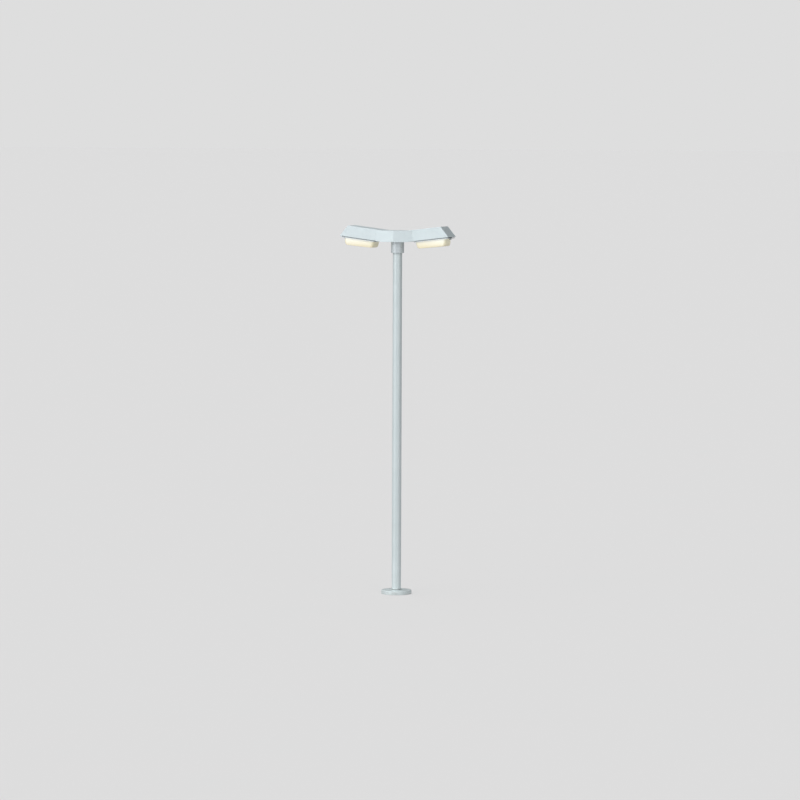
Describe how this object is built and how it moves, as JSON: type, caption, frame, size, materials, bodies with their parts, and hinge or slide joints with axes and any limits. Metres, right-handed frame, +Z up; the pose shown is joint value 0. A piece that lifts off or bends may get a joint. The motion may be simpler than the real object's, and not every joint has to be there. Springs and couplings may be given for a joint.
{
  "type": "street lamp post",
  "caption": "Slender steel lighting column on a round base disc, with gently rising hip-roofed lanterns either side of a hub, each over a drop-down opal bowl.",
  "frame": {"origin": "on the ground, on the column's axis, at the underside of the base flange", "axes": "+Z up the column; +X along the right arm; -Y the front; the access door is on the +Y side"},
  "size_m": [1.6764, 0.436, 5.2975],
  "materials": {
    "column_paint": "satin polyester powder coat, pale blue-grey",
    "housing_paint": "satin polyester powder coat, pale blue-grey",
    "cast_paint": "satin paint on cast aluminium",
    "galvanised_steel": "hot-dip galvanised, dull",
    "stainless": "plain stainless steel",
    "polished_aluminium": "bright anodised reflector sheet",
    "aluminium_can": "plain drawn can",
    "opal_bowl": "smooth opal acrylic, warm cream",
    "lamp_glass": "white coated glass bulb",
    "ceramic": "glazed porcelain",
    "rubber": "matt black EPDM",
    "black_plastic": "matt black insulation",
    "grey_plastic": "matt grey moulding",
    "brass": "plain brass",
    "earth_green": "matt green insulation",
    "board": "resin-bonded board"
  },
  "bodies": {
    "column": {"base_flange": "galvanised_steel", "column_shaft": "column_paint", "top_spigot": "galvanised_steel", "door_frame": "column_paint", "door_hinge_lower": "column_paint", "door_hinge_upper": "column_paint", "door_pin_lower": "stainless", "door_pin_upper": "stainless", "fuse_board": "board", "fuse_unit": "grey_plastic", "earth_stud": "brass", "earth_wire": "earth_green", "supply_cable": "black_plastic", "riser_cable": "black_plastic", "collar": "cast_paint", "set_screw_1": "stainless", "set_screw_2": "stainless", "set_screw_3": "stainless", "hub_housing": "housing_paint", "hub_pan": "cast_paint", "cross_arm": "galvanised_steel", "clamp_bolt_front": "stainless", "clamp_bolt_rear": "stainless", "terminal_block": "ceramic", "right_canopy": "housing_paint", "right_gasket": "rubber", "right_hinge_bracket": "cast_paint", "right_hinge_pin": "stainless", "right_reflector": "polished_aluminium", "right_lamp_holder": "ceramic", "right_lamp": "lamp_glass", "right_gear_tray": "galvanised_steel", "right_ballast": "black_plastic", "right_capacitor": "aluminium_can", "right_lead": "black_plastic", "left_canopy": "housing_paint", "left_gasket": "rubber", "left_hinge_bracket": "cast_paint", "left_hinge_pin": "stainless", "left_reflector": "polished_aluminium", "left_lamp_holder": "ceramic", "left_lamp": "lamp_glass", "left_gear_tray": "galvanised_steel", "left_ballast": "black_plastic", "left_capacitor": "aluminium_can", "left_lead": "black_plastic"},
    "base_cover": {"base_cover": "column_paint", "base_cover_seal": "rubber"},
    "door": {"door_panel": "column_paint", "lock_barrel": "stainless"},
    "door_lock": {"lock_spindle": "brass", "lock_cam": "galvanised_steel"},
    "fuse_carrier_left": {"fuse_carrier_left": "black_plastic"},
    "fuse_carrier_right": {"fuse_carrier_right": "black_plastic"},
    "right_bowl": {"right_bowl_frame": "cast_paint", "right_bowl": "opal_bowl"},
    "right_latch": {"right_latch": "grey_plastic"},
    "left_bowl": {"left_bowl_frame": "cast_paint", "left_bowl": "opal_bowl"},
    "left_latch": {"left_latch": "grey_plastic"}
  },
  "joints": [
    {"name": "base_cover_lift", "type": "slide", "parent": "column", "child": "base_cover", "axis": [0, 0, 1], "range_m": [0, 0.25]},
    {"name": "door_swing", "type": "hinge", "parent": "column", "child": "door", "pos_m": [-0.04474, 0.05894, 0.76], "axis": [0, 0, 1], "range_deg": [0, 110]},
    {"name": "door_lock_turn", "type": "hinge", "parent": "door", "child": "door_lock", "pos_m": [0.02052, 0.05638, 0.82], "axis": [-0.342, -0.9397, 0], "range_deg": [0, 90]},
    {"name": "fuse_carrier_left_pull", "type": "slide", "parent": "column", "child": "fuse_carrier_left", "axis": [0, 1, 0], "range_m": [0, 0.018]},
    {"name": "fuse_carrier_right_pull", "type": "slide", "parent": "column", "child": "fuse_carrier_right", "axis": [0, 1, 0], "range_m": [0, 0.018]},
    {"name": "right_bowl_swing", "type": "hinge", "parent": "column", "child": "right_bowl", "pos_m": [0.30172, 0, 5.07103], "axis": [0, 1, 0], "range_deg": [0, 85]},
    {"name": "right_latch_turn", "type": "hinge", "parent": "right_bowl", "child": "right_latch", "pos_m": [0.81085, 0, 5.12559], "axis": [-0.1201, 0, 0.9928], "range_deg": [0, 90]},
    {"name": "left_bowl_swing", "type": "hinge", "parent": "column", "child": "left_bowl", "pos_m": [-0.30172, 0, 5.07103], "axis": [0, -1, 0], "range_deg": [0, 85]},
    {"name": "left_latch_turn", "type": "hinge", "parent": "left_bowl", "child": "left_latch", "pos_m": [-0.81085, 0, 5.12559], "axis": [0.1201, 0, 0.9928], "range_deg": [0, 90]}
  ]
}
